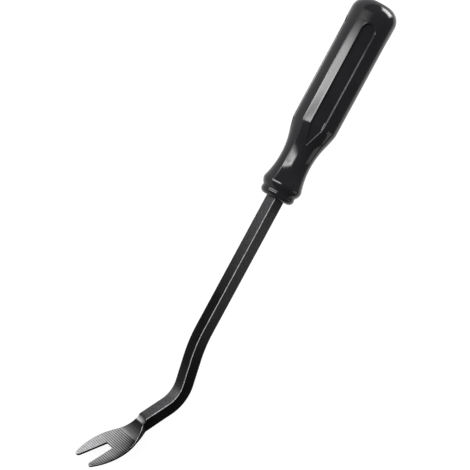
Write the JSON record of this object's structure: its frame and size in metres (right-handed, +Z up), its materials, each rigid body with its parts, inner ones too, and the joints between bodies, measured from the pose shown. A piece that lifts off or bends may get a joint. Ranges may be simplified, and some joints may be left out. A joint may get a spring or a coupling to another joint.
{
  "type": "trim removal tool",
  "caption": "Hand tool for lifting trim clips: a fluted moulded handle on a cranked square steel bar that ends in a scooped, serrated, forked blade.",
  "frame": {"origin": "centre of the tool's box, on the surface it lies on", "axes": "+X from the handle towards the fork, along the tool's length; +Z up from the surface it lies on; the serrated side of the blade faces -Y"},
  "size_m": [0.2585, 0.0425, 0.0258],
  "materials": {
    "handle_black": "gloss moulded",
    "bar_black": "satin black, blade face ground bare"
  },
  "bodies": {
    "root": {"handle": "handle_black", "bar": "bar_black"}
  },
  "joints": []
}
